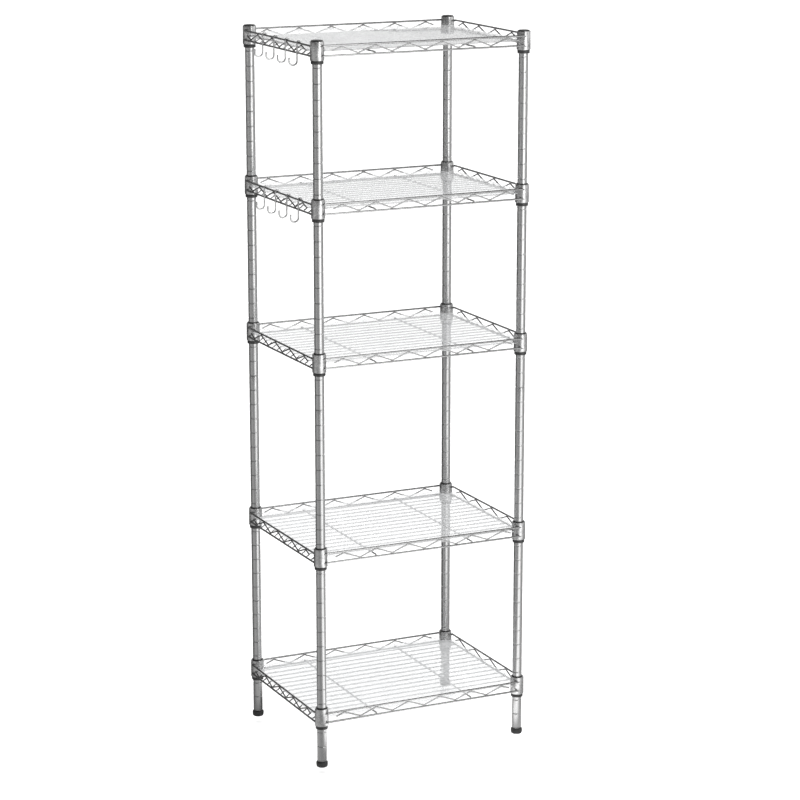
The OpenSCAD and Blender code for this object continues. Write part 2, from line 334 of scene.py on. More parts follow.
def metal(name, shade, rough, mottle, grain, streak=(1, 1, 1)):
    """Silver finish: a mottled tone, uneven gloss and a fine orange-peel skin."""
    n = Nodes(name)
    clouds = n.noise(scale=90, detail=4, stretch=streak)
    flecks = n.noise(scale=900, detail=2)
    gloss = n.noise(scale=260, detail=3, stretch=streak)
    peel = n.noise(scale=700, detail=2)
    waves = n.noise(scale=60, detail=2, stretch=streak)
    tone = n.ramp(clouds, [(0.3, shade * (1 - mottle)), (0.72, shade * (1 + mottle))])
    fleck_tone = n.ramp(flecks, [(0.35, 0.9), (0.65, 1.0)])
    n.drive(n.multiply(tone, fleck_tone), "Base Color")
    n.drive(n.ramp(gloss, [(0.25, rough * 0.8), (0.75, rough * 1.25)]), "Roughness")
    n.bump([(peel, 0.35 * grain, 0.05 * MM), (waves, 0.3 * grain, 0.15 * MM)])
    n.set(Metallic=1.0)
    return n.material


def spangled_metal(name, shade, rough):
    """Silver finish over a cast or galvanised part, with faint crystal patches."""
    n = Nodes(name)
    patches = n.ramp(n.cells(scale=420), [(0.0, shade * 0.72), (1.0, shade * 1.16)])
    clouds = n.ramp(n.noise(scale=150, detail=4), [(0.3, 0.74), (0.7, 1.0)])
    gloss = n.noise(scale=330, detail=3)
    n.drive(n.multiply(patches, clouds), "Base Color")
    n.drive(n.ramp(gloss, [(0.3, rough * 0.8), (0.7, rough * 1.3)]), "Roughness")
    n.bump([(n.noise(scale=520, detail=3), 0.5, 0.06 * MM)])
    n.set(Metallic=1.0)
    return n.material


def black_plastic(name, rough):
    """Moulded plastic with a fine eroded skin."""
    n = Nodes(name)
    tone = n.noise(scale=120, detail=3)
    gloss = n.noise(scale=600, detail=3)
    n.drive(n.ramp(tone, [(0.3, 0.012), (0.7, 0.028)]), "Base Color")
    n.drive(n.ramp(gloss, [(0.3, rough * 0.85), (0.7, rough * 1.15)]), "Roughness")
    n.bump([(n.noise(scale=2200, detail=3), 0.5, 0.04 * MM)])
    n.set(Specular_IOR_Level=0.55)
    return n.material


def clear_film(name):
    """Milky clear sheet: a glossy skin with long ripples and faint handling marks."""
    n = Nodes(name)
    tone = n.noise(scale=14, detail=2)
    gloss = n.noise(scale=45, detail=4, stretch=(1, 2.5, 1))
    ripples = n.noise(scale=9, detail=1)
    marks = n.noise(scale=400, detail=2)
    n.drive(n.ramp(tone, [(0.3, (0.92, 0.93, 0.94)), (0.7, (0.96, 0.965, 0.97))]), "Base Color")
    n.drive(n.ramp(gloss, [(0.35, 0.05), (0.75, 0.13)]), "Roughness")
    n.bump([(ripples, 0.35, 3 * MM), (marks, 0.03, 0.1 * MM)])
    n.set(Alpha=0.38, IOR=1.5, Specular_IOR_Level=0.7)
    return n.material


post_steel = metal("post_steel", shade=0.50, rough=0.25, mottle=0.03, grain=0.5, streak=(1, 1, 0.12))
wire_steel = metal("wire_steel", shade=0.40, rough=0.25, mottle=0.06, grain=0.6)
hook_steel = metal("hook_steel", shade=0.62, rough=0.28, mottle=0.05, grain=0.8)
stud_steel = metal("stud_steel", shade=0.62, rough=0.25, mottle=0.06, grain=0.6)
inner_steel = metal("inner_steel", shade=0.40, rough=0.38, mottle=0.08, grain=0.6)
weld_steel = metal("weld_steel", shade=0.30, rough=0.42, mottle=0.18, grain=1.6)
collar_steel = spangled_metal("collar_steel", shade=0.62, rough=0.26)
sleeve_plastic = black_plastic("sleeve_plastic", rough=0.42)
foot_plastic = black_plastic("foot_plastic", rough=0.5)
liner_film = clear_film("liner_film")


# ---------------------------------------------------------------- posts and caps

# Each round edge below is a row of points, as millimetres in from the wall and along from the end
POST_END = ((0.5, 0), (0.12, 0.35), (0, 0.8))
GROOVE_DEPTH = 0.5 * MM
GROOVE_REACH = 1.12 * MM
GROOVE_SHOULDER = 1.4 * MM
GROOVE_STEPS = 4
GROOVE_CLEAR = 2 * MM


def post_profile(low, high, levels):
    """Closed profile of a rolled tube: rounded ends, a rolled groove at each level, and the bore."""
    outer = edge(POST_R, low, POST_END, 1)
    for level in levels:
        outer.append((POST_R, level - GROOVE_SHOULDER))
        for step in range(-GROOVE_STEPS, GROOVE_STEPS + 1):
            share = step / GROOVE_STEPS
            dip = GROOVE_DEPTH * (1 + math.cos(math.pi * share)) / 2
            outer.append((POST_R - dip, level + share * GROOVE_REACH))
        outer.append((POST_R, level + GROOVE_SHOULDER))
    outer += edge(POST_R, high, POST_END[::-1], -1)
    return outer + [(POST_R - POST_WALL, high), (POST_R - POST_WALL, low)]


def build_tubes():
    first_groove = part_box("post_front_left_lower")[0].z
    for corner in CORNERS:
        for part in ("lower", "upper"):
            node = f"post_{corner}_{part}"
            low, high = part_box(node)
            first = math.ceil((low.z + GROOVE_CLEAR - first_groove) / GROOVE_PITCH)
            last = math.floor((high.z - GROOVE_CLEAR - first_groove) / GROOVE_PITCH)
            levels = [first_groove + n * GROOVE_PITCH for n in range(first, last + 1)]
            mesh = bmesh.new()
            lathe(mesh, post_profile(low.z, high.z, levels), centre(node), closed=True, segments=56)
            piece(f"{corner}_{part}_tube", mesh, [post_steel], "frame", [node], sharp=50)


# Dished top of a cap, as shares of its radius and millimetres down
CAP_DISH = ((0, 0.25), (0.45, 0.2), (0.7, 0))
CAP_EDGE = 1.1 * MM
CAP_SEAT_EDGE = ((0, 0.15), (0.15, 0))
CAP_PLUG_PLAY = 0.05 * MM
CAP_PLUG_R = POST_R - POST_WALL - CAP_PLUG_PLAY
CAP_PLUG_LENGTH = 12 * MM
CAP_PLUG_CHAMFER = 1 * MM


def build_caps():
    mesh = bmesh.new()
    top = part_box("post_caps")[1].z
    seat = max(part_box(f"post_{corner}_upper")[1].z for corner in CORNERS)
    tip = seat - CAP_PLUG_LENGTH
    skin = [(POST_R * share, top - down * MM) for share, down in CAP_DISH]
    skin += round_to_wall(POST_R, top, CAP_EDGE, -1, QUARTER)
    skin += edge(POST_R, seat, CAP_SEAT_EDGE, 1)
    skin += [(CAP_PLUG_R, seat), (CAP_PLUG_R, tip + CAP_PLUG_CHAMFER)]
    skin += [(CAP_PLUG_R - CAP_PLUG_CHAMFER, tip), (0, tip)]
    for corner in CORNERS:
        lathe(mesh, skin, post_axis(corner), segments=56)
    piece("top_caps", mesh, [sleeve_plastic], "frame", ["post_caps"], sharp=50)


# ---------------------------------------------------------------- levelling feet

# A pad's hollow underside and dished top reach out to shares of its radius
PAD_HOLLOW = 0.4 * MM
PAD_HOLLOW_SHARE = 0.55
PAD_RIM_SHARE = 0.62
PAD_LOW_IN = 0.5 * MM
PAD_LOW_EDGE = 2.2 * MM
PAD_LOW_ANGLES = (0.0, 0.35, 0.7, 1.05, 1.4)
PAD_BULGE = ((0.15, 3.4), (0, 5), (0, 6.6))
PAD_SHOULDER = 7.8 * MM
PAD_HIGH_EDGE = 1.7 * MM
PAD_HIGH_ANGLES = (0.3, 0.7, 1.1, math.pi / 2)
PAD_DISH = 0.35 * MM
PAD_DISH_SHARES = (0.66, 0.6)
PAD_BORE_R = 3.05 * MM
PAD_BORE_DEPTH = 6.5 * MM
PAD_BORE_CHAMFER = 0.3 * MM


def build_pads():
    for corner in CORNERS:
        node = f"foot_{corner}_pad"
        low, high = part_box(node)
        radius = (high.x - low.x) / 2
        top = high.z
        rim, dish = (radius * share for share in PAD_DISH_SHARES)
        skin = [(0, PAD_HOLLOW), (radius * PAD_HOLLOW_SHARE, PAD_HOLLOW), (radius * PAD_RIM_SHARE, 0)]
        skin += round_to_wall(radius - PAD_LOW_IN, 0, PAD_LOW_EDGE, 1, PAD_LOW_ANGLES)
        skin += edge(radius, 0, PAD_BULGE, 1)
        skin += round_from_wall(radius, PAD_SHOULDER + PAD_HIGH_EDGE, PAD_HIGH_EDGE, PAD_HIGH_ANGLES)
        skin += [(rim, top), (dish, top - PAD_DISH)]
        skin += [(PAD_BORE_R + PAD_BORE_CHAMFER, top - PAD_DISH), (PAD_BORE_R, top - 2 * PAD_DISH)]
        skin += [(PAD_BORE_R, top - PAD_BORE_DEPTH), (0, top - PAD_BORE_DEPTH)]
        mesh = bmesh.new()
        lathe(mesh, skin, centre(node), segments=48)
        piece(f"{corner}_foot", mesh, [foot_plastic], node, [node], sharp=40)


STUD_R = 2.95 * MM
STUD_SIDES = 32
STUD_FOOT_EDGE = ((0.35, 0), (0, 0.4))
WASHER_LIFT = 0.05 * MM
WASHER_THICK = 1.2 * MM
WASHER_CHAMFER = 0.25 * MM
THREAD_START = 0.4 * MM
THREAD_END = 1 * MM
THREAD_DEPTH = 0.55 * MM
THREAD_STEPS = 6
STUD_TIP_R = 2 * MM


def stud_rings(low, high, washer_low, washer_r):
    """Rings of (radius, height) points up a stud: journal, washer, helical thread and flat tip."""
    washer_high = washer_low + WASHER_THICK
    rows = [(0, low)] + edge(STUD_R, low, STUD_FOOT_EDGE, 1)
    rows += [(STUD_R, washer_low), (washer_r - WASHER_CHAMFER, washer_low)]
    rows += [(washer_r, washer_low + WASHER_CHAMFER), (washer_r, washer_high - WASHER_CHAMFER)]
    rows += [(washer_r - WASHER_CHAMFER, washer_high), (STUD_R, washer_high)]
    rings = [[row] * STUD_SIDES for row in rows]
    start = washer_high + THREAD_START
    count = int((high - THREAD_END - start) / THREAD_PITCH * THREAD_STEPS)
    for i in range(count + 1):
        turn = i / THREAD_STEPS
        fade = min(1, turn, (count - i) / THREAD_STEPS)
        points = []
        for k in range(STUD_SIDES):
            phase = (turn - k / STUD_SIDES) % 1
            depth = fade * THREAD_DEPTH * (1 - abs(2 * phase - 1))
            points.append((STUD_R - depth, start + turn * THREAD_PITCH))
        rings.append(points)
    return rings + [[(STUD_TIP_R, high)] * STUD_SIDES, [(0, high)] * STUD_SIDES]


def build_studs():
    angles = [FULL_TURN * k / STUD_SIDES for k in range(STUD_SIDES)]
    for corner in CORNERS:
        node = f"foot_{corner}_stud"
        low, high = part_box(node)
        axis = centre(node)
        washer_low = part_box(f"foot_{corner}_pad")[1].z + WASHER_LIFT
        mesh = bmesh.new()
        grid = []
        for points in stud_rings(low.z, high.z, washer_low, (high.x - low.x) / 2):
            spots = []
            for a, (r, z) in zip(angles, points):
                spots.append((axis.x + r * math.cos(a), axis.y + r * math.sin(a), z))
            grid.append([mesh.verts.new(spot) for spot in spots])
        for one, two in zip(grid, grid[1:]):
            for k in range(STUD_SIDES):
                j = (k + 1) % STUD_SIDES
                mesh.faces.new((one[k], one[j], two[j], two[k]))
        piece(f"{corner}_levelling_stud", mesh, [stud_steel], node, [node], sharp=50)


# ---------------------------------------------------------------- sleeves

SLEEVE_RING_R = 10.3 * MM
SLEEVE_RING_HEIGHT = 5.5 * MM
SLEEVE_CONE_LOW_R = 10 * MM
SLEEVE_CONE_HIGH_R = 9.7 * MM
SLEEVE_PLAY = 0.02 * MM
SLEEVE_BORE_R = POST_R + SLEEVE_PLAY
SLEEVE_SPLIT = 0.3 * MM
SLEEVE_FOOT_EDGE = ((1.1, 0), (0.35, 0.3), (0, 1.0))
SLEEVE_RING_EDGE = ((0, 0.9), (0.25, 0.3))
SLEEVE_TOP_EDGE = ((0, 0.8), (0.25, 0.2), (0.7, 0))


def sleeve_profile(low, high):
    """Closed profile of a sleeve: the ring below the collar, and the cone inside it."""
    ring_top = low + SLEEVE_RING_HEIGHT
    skin = [(SLEEVE_BORE_R, low)]
    skin += edge(SLEEVE_RING_R, low, SLEEVE_FOOT_EDGE, 1)
    skin += edge(SLEEVE_RING_R, ring_top, SLEEVE_RING_EDGE, -1)
    skin.append((SLEEVE_CONE_LOW_R, ring_top))
    skin += edge(SLEEVE_CONE_HIGH_R, high, SLEEVE_TOP_EDGE, -1)
    return skin + [(SLEEVE_BORE_R, high)]


def build_sleeves():
    gap = SLEEVE_SPLIT / SLEEVE_CONE_LOW_R
    for shelf in SHELVES:
        node = f"sleeves_shelf_{shelf}"
        low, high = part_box(node)
        profile = sleeve_profile(low.z, high.z)
        mesh = bmesh.new()
        for corner in CORNERS:
            for start in (0, math.pi):
                span = (start + gap, start + math.pi - gap)
                lathe(mesh, profile, post_axis(corner), closed=True, segments=28, span=span)
        name = f"shelf_{shelf}_wedge_sleeves"
        piece(name, mesh, [sleeve_plastic], "frame", [node], sharp=40)


# ---------------------------------------------------------------- shelves

COLLAR_HIGH_R = 11.45 * MM
COLLAR_BORE_LOW_R = 10.05 * MM
COLLAR_BORE_HIGH_R = 9.8 * MM
COLLAR_LOW_EDGE = 1.3 * MM
COLLAR_LOW_ANGLES = (0.0, 0.3, 0.6, 0.9, 1.2, math.pi / 2)
COLLAR_HIGH_EDGE = 0.7 * MM

# Welds between a collar and a rail: place from the post's axis and the rail, and half sizes
COLLAR_WELD_ALONG = 4.2 * MM
COLLAR_WELD_OUT = 11.2 * MM
COLLAR_WELD_DROP = 1.0 * MM
COLLAR_WELD = (3.4 * MM, 1.1 * MM, 1.2 * MM)

# How far short of the posts' axes the rails end, against the collars' walls
RAIL_END = 5 * MM

# Half sizes of the spot welds at the zigzags' peaks, their lengths in millimetres
PEAK_WELD_SHORTEST = 2.2
PEAK_WELD_LONGEST = 3.0
PEAK_WELD_WIDTH = 0.95 * MM
PEAK_WELD_HEIGHT = 0.6 * MM

# Half sizes of the welds of the cross wires and deck wires, and the place of the deck ends' welds
CROSS_WELD = (1.7 * MM, 1.5 * MM, 0.5 * MM)
DECK_WELD = (1.5 * MM, 1.5 * MM, 0.45 * MM)
DECK_END_WELD = (0.5 * MM, 1.4 * MM, 0.5 * MM)
DECK_END_WELD_IN = 1.3 * MM
DECK_END_WELD_UP = 1.0 * MM


class Shelf:
    """Where one shelf's rails lie, and the dice that make its welds uneven."""

    def __init__(self, number):
        self.body = f"shelf_{number}"
        low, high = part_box(f"{self.body}_rails")
        self.middle = (low + high) / 2
        self.plane_x = (high.x - low.x) / 2 - RAIL_R
        self.plane_y = (high.y - low.y) / 2 - RAIL_R
        self.upper_z = high.z - RAIL_R
        self.lower_z = low.z + RAIL_R
        self.dice = random.Random(self.body)


def collar_profile(low, high):
    """Closed profile of a tapered collar with rolled edges."""
    skin = round_to_wall(COLLAR_R, low, COLLAR_LOW_EDGE, 1, COLLAR_LOW_ANGLES)
    skin += round_from_wall(COLLAR_HIGH_R, high, COLLAR_HIGH_EDGE, QUARTER)
    return skin + [(COLLAR_BORE_HIGH_R, high), (COLLAR_BORE_LOW_R, low)]


def build_collars(shelf):
    """Collars, with the welds that hold the rails."""
    node = f"{shelf.body}_collars"
    low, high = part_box(node)
    long, thick, tall = COLLAR_WELD
    mesh = bmesh.new()
    for corner in CORNERS:
        axis = post_axis(corner)
        lathe(mesh, collar_profile(low.z, high.z), axis, closed=True, segments=56)
        out_x = math.copysign(1, axis.x - shelf.middle.x)
        out_y = math.copysign(1, axis.y - shelf.middle.y)
        for rail_z in (shelf.upper_z, shelf.lower_z):
            z = rail_z - COLLAR_WELD_DROP
            place = (axis.x - out_x * COLLAR_WELD_ALONG, axis.y + out_y * COLLAR_WELD_OUT, z)
            bead(mesh, place, (long, thick, tall), shelf.dice)
            place = (axis.x + out_x * COLLAR_WELD_OUT, axis.y - out_y * COLLAR_WELD_ALONG, z)
            bead(mesh, place, (thick, long, tall), shelf.dice)
    materials = [collar_steel, weld_steel]
    piece(f"{shelf.body}_corner_collars", mesh, materials, shelf.body, [node], sharp=50)


def build_rails(shelf):
    mesh = bmesh.new()
    middle = shelf.middle
    end_x = post_axis("front_right").x - middle.x - RAIL_END
    end_y = post_axis("back_right").y - middle.y - RAIL_END
    for z in (shelf.upper_z, shelf.lower_z):
        for side in SIDES:
            x = middle.x + side * shelf.plane_x
            y = middle.y + side * shelf.plane_y
            wire(mesh, [(middle.x + s * end_x, y, z) for s in (-1, 0, 1)], RAIL_R)
            wire(mesh, [(x, middle.y + s * end_y, z) for s in (-1, 0, 1)], RAIL_R)
    node = f"{shelf.body}_rails"
    piece(f"{shelf.body}_rail_wires", mesh, [wire_steel], shelf.body, [node])


def build_zigzags(shelf):
    """Zigzag wires, spot-welded to the rails at every peak."""
    mesh = bmesh.new()
    half = ZIGZAG_PITCH / 2
    gap = shelf.upper_z - shelf.lower_z
    # The path's sharp corners lie past the peaks by what their rounding takes off
    peak = gap / 2 - RAIL_R - ZIGZAG_R + BITE
    sharp_peak = peak + ZIGZAG_BEND * (1 / math.cos(math.atan(2 * peak / half)) - 1)
    weld_up = gap / 2 - RAIL_R + BITE
    truss = Vector((shelf.middle.x, shelf.middle.y, (shelf.upper_z + shelf.lower_z) / 2))
    sides = [("long", Vector((1, 0, 0)), Vector((0, side * shelf.plane_y, 0)), 1) for side in SIDES]
    sides += [("short", Vector((0, 1, 0)), Vector((side * shelf.plane_x, 0, 0)), -side) for side in SIDES]
    for kind, along, offset, first_up in sides:
        waves = ZIGZAG_HALF_WAVES[kind]
        start = -half * waves / 2
        stop = start + half * waves
        origin = truss + offset
        peaks = [(start + i * half, first_up * (1 if i % 2 == 0 else -1)) for i in range(waves + 1)]
        corners = [origin + along * (start - half / 2)]
        corners += [origin + along * s + Vector((0, 0, up * sharp_peak)) for s, up in peaks]
        corners += [origin + along * (stop + half / 2)]
        wire(mesh, rounded(corners, ZIGZAG_BEND), ZIGZAG_R, sides=12)
        for s, up in peaks:
            place = origin + along * s + Vector((0, 0, up * weld_up))
            length = shelf.dice.uniform(PEAK_WELD_SHORTEST, PEAK_WELD_LONGEST) * MM
            size = [length if c else PEAK_WELD_WIDTH for c in along]
            size[2] = PEAK_WELD_HEIGHT
            bead(mesh, place, size, shelf.dice)
    node = f"{shelf.body}_zigzags"
    materials = [wire_steel, weld_steel]
    piece(f"{shelf.body}_zigzag_wires", mesh, materials, shelf.body, [node])


def build_deck(shelf):
    """Deck wires on two cross wires, their ends bent down to the lower side rails."""
    node = f"{shelf.body}_deck"
    low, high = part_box(node)
    mesh = bmesh.new()
    middle = shelf.middle
    deck_z = high.z - DECK_R
    cross_z = shelf.lower_z + RAIL_R + CROSS_R - BITE
    meet_z = (deck_z - DECK_R + cross_z + CROSS_R) / 2
    end_in = ZIGZAG_R + BITE
    end_z = shelf.lower_z + math.sqrt(RAIL_R ** 2 - end_in ** 2) + DECK_R - BITE
    end_x = shelf.plane_x - end_in
    knee_x = shelf.plane_x - DECK_KNEE
    half_path = [(knee_x - DECK_RAMP, deck_z), (knee_x, end_z), (end_x, end_z)]
    for side in SIDES:
        x = middle.x + side * CROSS_X
        wire(mesh, [(x, y, cross_z) for y in (low.y, middle.y, high.y)], CROSS_R)
        for end in SIDES:
            place = (x, middle.y + end * shelf.plane_y, shelf.lower_z + RAIL_R)
            bead(mesh, place, CROSS_WELD, shelf.dice)
    for i in range(DECK_COUNT):
        y = middle.y + (i - (DECK_COUNT - 1) / 2) * DECK_PITCH
        corners = [Vector((middle.x - s, y, z)) for s, z in reversed(half_path)]
        corners += [Vector((middle.x + s, y, z)) for s, z in half_path]
        wire(mesh, rounded(corners, DECK_BEND), DECK_R, sides=12)
        for side in SIDES:
            bead(mesh, (middle.x + side * CROSS_X, y, meet_z), DECK_WELD, shelf.dice)
            x = middle.x + side * (shelf.plane_x - DECK_END_WELD_IN)
            bead(mesh, (x, y, shelf.lower_z + DECK_END_WELD_UP), DECK_END_WELD, shelf.dice)
    materials = [wire_steel, weld_steel]
    piece(f"{shelf.body}_deck_wires", mesh, materials, shelf.body, [node])


# ---------------------------------------------------------------- liners

# How high each liner bows off its deck wires, in millimetres, and where its crown sits, as shares of
# the sheet's half sizes along X and Y
LINER_BOWS = {
    1: (6.5, -0.35, 0.35),
    2: (2.2, 0.5, -0.3),
    3: (1.8, 0.4, 0.2),
    4: (2.0, -0.5, 0.4),
    5: (1.6, 0.55, 0.5),
}
CROWN_SPREAD_X = 0.45
CROWN_SPREAD_Y = 0.9
RIPPLE_HEIGHT = 0.9 * MM
RIPPLES_X = 1.9
RIPPLES_Y = 1.3
RIPPLE_SEED = Vector((7.3, 3.1, 0))
LINER_CELL = 9 * MM
LINER_SKIN = 1 * MM
NOTCH_R = COLLAR_R + LINER_GAP
NOTCH_STEPS = 12


def notch(low, high, corner, x_edge_first):
    """Points of the round notch at one post, from one edge of the sheet to the other."""
    axis = post_axis(corner)
    out_x = low.x if "left" in corner else high.x
    out_y = low.y if "front" in corner else high.y
    in_x = math.sqrt(NOTCH_R ** 2 - (out_x - axis.x) ** 2)
    in_y = math.sqrt(NOTCH_R ** 2 - (out_y - axis.y) ** 2)
    at_y_edge = (math.copysign(in_y, -axis.x), out_y - axis.y)
    at_x_edge = (out_x - axis.x, math.copysign(in_x, -axis.y))
    first, last = (at_x_edge, at_y_edge) if x_edge_first else (at_y_edge, at_x_edge)
    start = math.atan2(first[1], first[0])
    stop = math.atan2(last[1], last[0])
    stop += FULL_TURN * round((start - stop) / FULL_TURN)
    turns = [start + (stop - start) * i / NOTCH_STEPS for i in range(NOTCH_STEPS + 1)]
    return [Vector((axis.x + NOTCH_R * math.cos(t), axis.y + NOTCH_R * math.sin(t), 0)) for t in turns]


def liner_outline(low, high):
    """Corners of a sheet with a round notch at each post, anticlockwise."""
    points = notch(low, high, "front_left", True)
    points += notch(low, high, "front_right", False)
    points += notch(low, high, "back_right", True)
    return points + notch(low, high, "back_left", False)


def cut_in_cells(mesh, low, high):
    """Cuts a flat sheet into small cells, so that it can bow."""
    for axis in (0, 1):
        count = round((high[axis] - low[axis]) / LINER_CELL)
        for i in range(1, count):
            place = Vector((0, 0, 0))
            normal = Vector((0, 0, 0))
            place[axis] = low[axis] + (high[axis] - low[axis]) * i / count
            normal[axis] = 1
            everything = mesh.verts[:] + mesh.edges[:] + mesh.faces[:]
            bmesh.ops.bisect_plane(mesh, geom=everything, plane_co=place, plane_no=normal, dist=1e-6)


def build_liner(number):
    node = f"liner_{number}"
    low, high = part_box(node)
    middle = (low + high) / 2
    half = (high - low) / 2
    mesh = bmesh.new()
    mesh.faces.new([mesh.verts.new(p) for p in liner_outline(low, high)])
    cut_in_cells(mesh, low, high)
    bow, crown_x, crown_y = LINER_BOWS[number]
    seed = RIPPLE_SEED * number
    for vert in mesh.verts:
        u = (vert.co.x - middle.x) / half.x
        v = (vert.co.y - middle.y) / half.y
        swell = math.exp(-((u - crown_x) ** 2 / CROWN_SPREAD_X + (v - crown_y) ** 2 / CROWN_SPREAD_Y))
        ripple = 0.5 + 0.5 * noise.noise(Vector((u * RIPPLES_X, v * RIPPLES_Y, 0)) + seed)
        vert.co.z = low.z + bow * MM * swell + RIPPLE_HEIGHT * ripple
    bmesh.ops.recalc_face_normals(mesh, faces=mesh.faces)
    if mesh.faces[0].normal.z < 0:
        bmesh.ops.reverse_faces(mesh, faces=mesh.faces)
    made = bmesh.ops.extrude_face_region(mesh, geom=mesh.faces[:])
    for item in made["geom"]:
        if isinstance(item, bmesh.types.BMVert):
            item.co.z += LINER_SKIN
    piece(f"shelf_{number}_clear_liner", mesh, [liner_film], node, [node], sharp=45)


# ---------------------------------------------------------------- hooks

HOOK_NUMBERS = range(1, 9)
HOOKS_ON_TOP_SHELF = 4
HOOK_PLAY = 0.1 * MM
HOOK_LOOP_R = RAIL_R + HOOK_PLAY + HOOK_R
HOOK_LOOP_START = math.radians(-20)
HOOK_LOOP_TURN = math.radians(200)
HOOK_LOOP_STEPS = 16
HOOK_MOUTH_R = 6.9 * MM
HOOK_MOUTH_STEPS = 20
HOOK_TIP = 6 * MM


def hook_path(rail, low):
    """Loop over the rail, straight stem, round mouth and upright tip, in a plane across the rail."""
    path = []
    for i in range(HOOK_LOOP_STEPS + 1):
        a = HOOK_LOOP_START + HOOK_LOOP_TURN * i / HOOK_LOOP_STEPS
        path.append(rail + Vector((math.cos(a), 0, math.sin(a))) * HOOK_LOOP_R)
    mouth = Vector((rail.x - HOOK_LOOP_R - HOOK_MOUTH_R, rail.y, low.z + HOOK_R + HOOK_MOUTH_R))
    for i in range(HOOK_MOUTH_STEPS + 1):
        a = -math.pi * i / HOOK_MOUTH_STEPS
        path.append(mouth + Vector((math.cos(a), 0, math.sin(a))) * HOOK_MOUTH_R)
    return path + [mouth + Vector((-HOOK_MOUTH_R, 0, HOOK_TIP))]


def build_hook(number):
    node = f"hook_{number}"
    low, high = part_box(node)
    shelf = 1 if number <= HOOKS_ON_TOP_SHELF else 2
    rail_low, rail_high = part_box(f"shelf_{shelf}_rails")
    rail = Vector((rail_low.x + RAIL_R, (low.y + high.y) / 2, rail_high.z - RAIL_R))
    mesh = bmesh.new()
    wire(mesh, hook_path(rail, low), HOOK_R, sides=16, dome=True)
    piece(f"{node}_wire", mesh, [hook_steel], node, [node], sharp=60)


# ---------------------------------------------------------------- the rack

build_tubes()
build_caps()
for inner in ("post_joiners", "foot_inserts"):
    shown = frame["nodes"][inner]
    shown.data.materials.clear()
    shown.data.materials.append(inner_steel)
build_pads()
build_studs()
build_sleeves()
for shelf_number in SHELVES:
    rack_shelf = Shelf(shelf_number)
    build_collars(rack_shelf)
    build_rails(rack_shelf)
    build_zigzags(rack_shelf)
    build_deck(rack_shelf)
for liner_number in SHELVES:
    build_liner(liner_number)
for hook_number in HOOK_NUMBERS:
    build_hook(hook_number)


# ---------------------------------------------------------------- camera

CAMERA_PLACE = Vector((-1.9379, -4.0921, 1.6741))
CAMERA_YAW = math.radians(25.746)
CAMERA_PITCH = math.radians(13.487)
CAMERA_LENS = 122.34
SENSOR_WIDTH = 36
CLIP_START = 0.05
CLIP_END = 100

camera_data = bpy.data.cameras.new("photo_camera")
camera_data.lens = CAMERA_LENS
camera_data.sensor_width = SENSOR_WIDTH
camera_data.clip_start = CLIP_START
camera_data.clip_end = CLIP_END
camera = bpy.data.objects.new("photo_camera", camera_data)
camera.location = CAMERA_PLACE
camera.rotation_euler = (math.pi / 2 - CAMERA_PITCH, 0, -CAMERA_YAW)
bpy.context.scene.collection.objects.link(camera)
bpy.context.scene.camera = camera


# ---------------------------------------------------------------- studio

# The floor lies as low as the feet can be screwed out, so that it hides them at no pose
FOOT_TRAVELS = [joint["range_m"][1] for joint in frame["joints"] if joint["name"].endswith("_travel")]
FLOOR_CLEAR = 0.2 * MM
FLOOR_Z = -max(FOOT_TRAVELS) - FLOOR_CLEAR
FLOOR_SIZE = 60
FLOOR_WHITE = 0.93
FLOOR_GLOW = 0.45
MIRROR_SIZE = 30
MIRROR_LIFT = 0.1 * MM
BACKDROP_R = 28
BACKDROP_HEIGHT = 14
BACKDROP_SIDES = 64

# Brightness of the studio round the rack, by the angle in degrees from the camera's side, positive
# to the right: the floor, which the posts mirror, and the walls, which the level wires mirror
FLOOR_RING = [
    (-180, 2.0), (-168, 1.8), (-154, 0.12), (-110, 0.12), (-85, 0.42), (-62, 0.68),
    (-20, 0.45), (0, 0.5), (10, 0.8), (26, 2.2), (48, 2.2), (70, 0.75), (110, 0.5),
    (148, 0.45), (162, 1.8), (180, 2.0),
]
WALL_RING = [
    (-180, 1.1), (-168, 1.0), (-155, 0.15), (-95, 0.12), (-60, 0.25), (0, 0.2),
    (36, 0.2), (46, 0.6), (100, 0.6), (130, 0.5), (160, 1.0), (180, 1.1),
]

# The walls' brightness by height, from the horizon to straight up
WALL_HEIGHTS = [(0.0, 1.0), (0.42, 1.0), (0.6, 0.3), (0.8, 0.12), (1.0, 0.1)]

view_flat = Vector((math.sin(CAMERA_YAW), math.cos(CAMERA_YAW), 0))
right_flat = Vector((math.cos(CAMERA_YAW), -math.sin(CAMERA_YAW), 0))


def around(angle, distance, height):
    """A place by its angle from the camera's side, its distance from the rack's axis and its height."""
    a = math.radians(angle)
    flat = right_flat * math.sin(a) - view_flat * math.cos(a)
    return flat * distance + Vector((0, 0, height))


def staged(name, mesh):
    """Turns a bmesh into a part of the studio, with a material of its own."""
    data = bpy.data.meshes.new(name)
    mesh.to_mesh(data)
    mesh.free()
    made = bpy.data.objects.new(name, data)
    material = bpy.data.materials.new(name)
    material.use_nodes = True
    data.materials.append(material)
    bpy.context.scene.collection.objects.link(made)
    return made, material.node_tree


def square(size):
    mesh = bmesh.new()
    bmesh.ops.create_grid(mesh, x_segments=1, y_segments=1, size=size / 2)
    return mesh


def glow_only(tree):
    """Replaces a studio part's surface by a glow, and gives the glow's colour socket."""
    glow = tree.nodes.new("ShaderNodeEmission")
    tree.links.new(glow.outputs["Emission"], tree.nodes["Material Output"].inputs["Surface"])
    return glow.inputs["Color"]


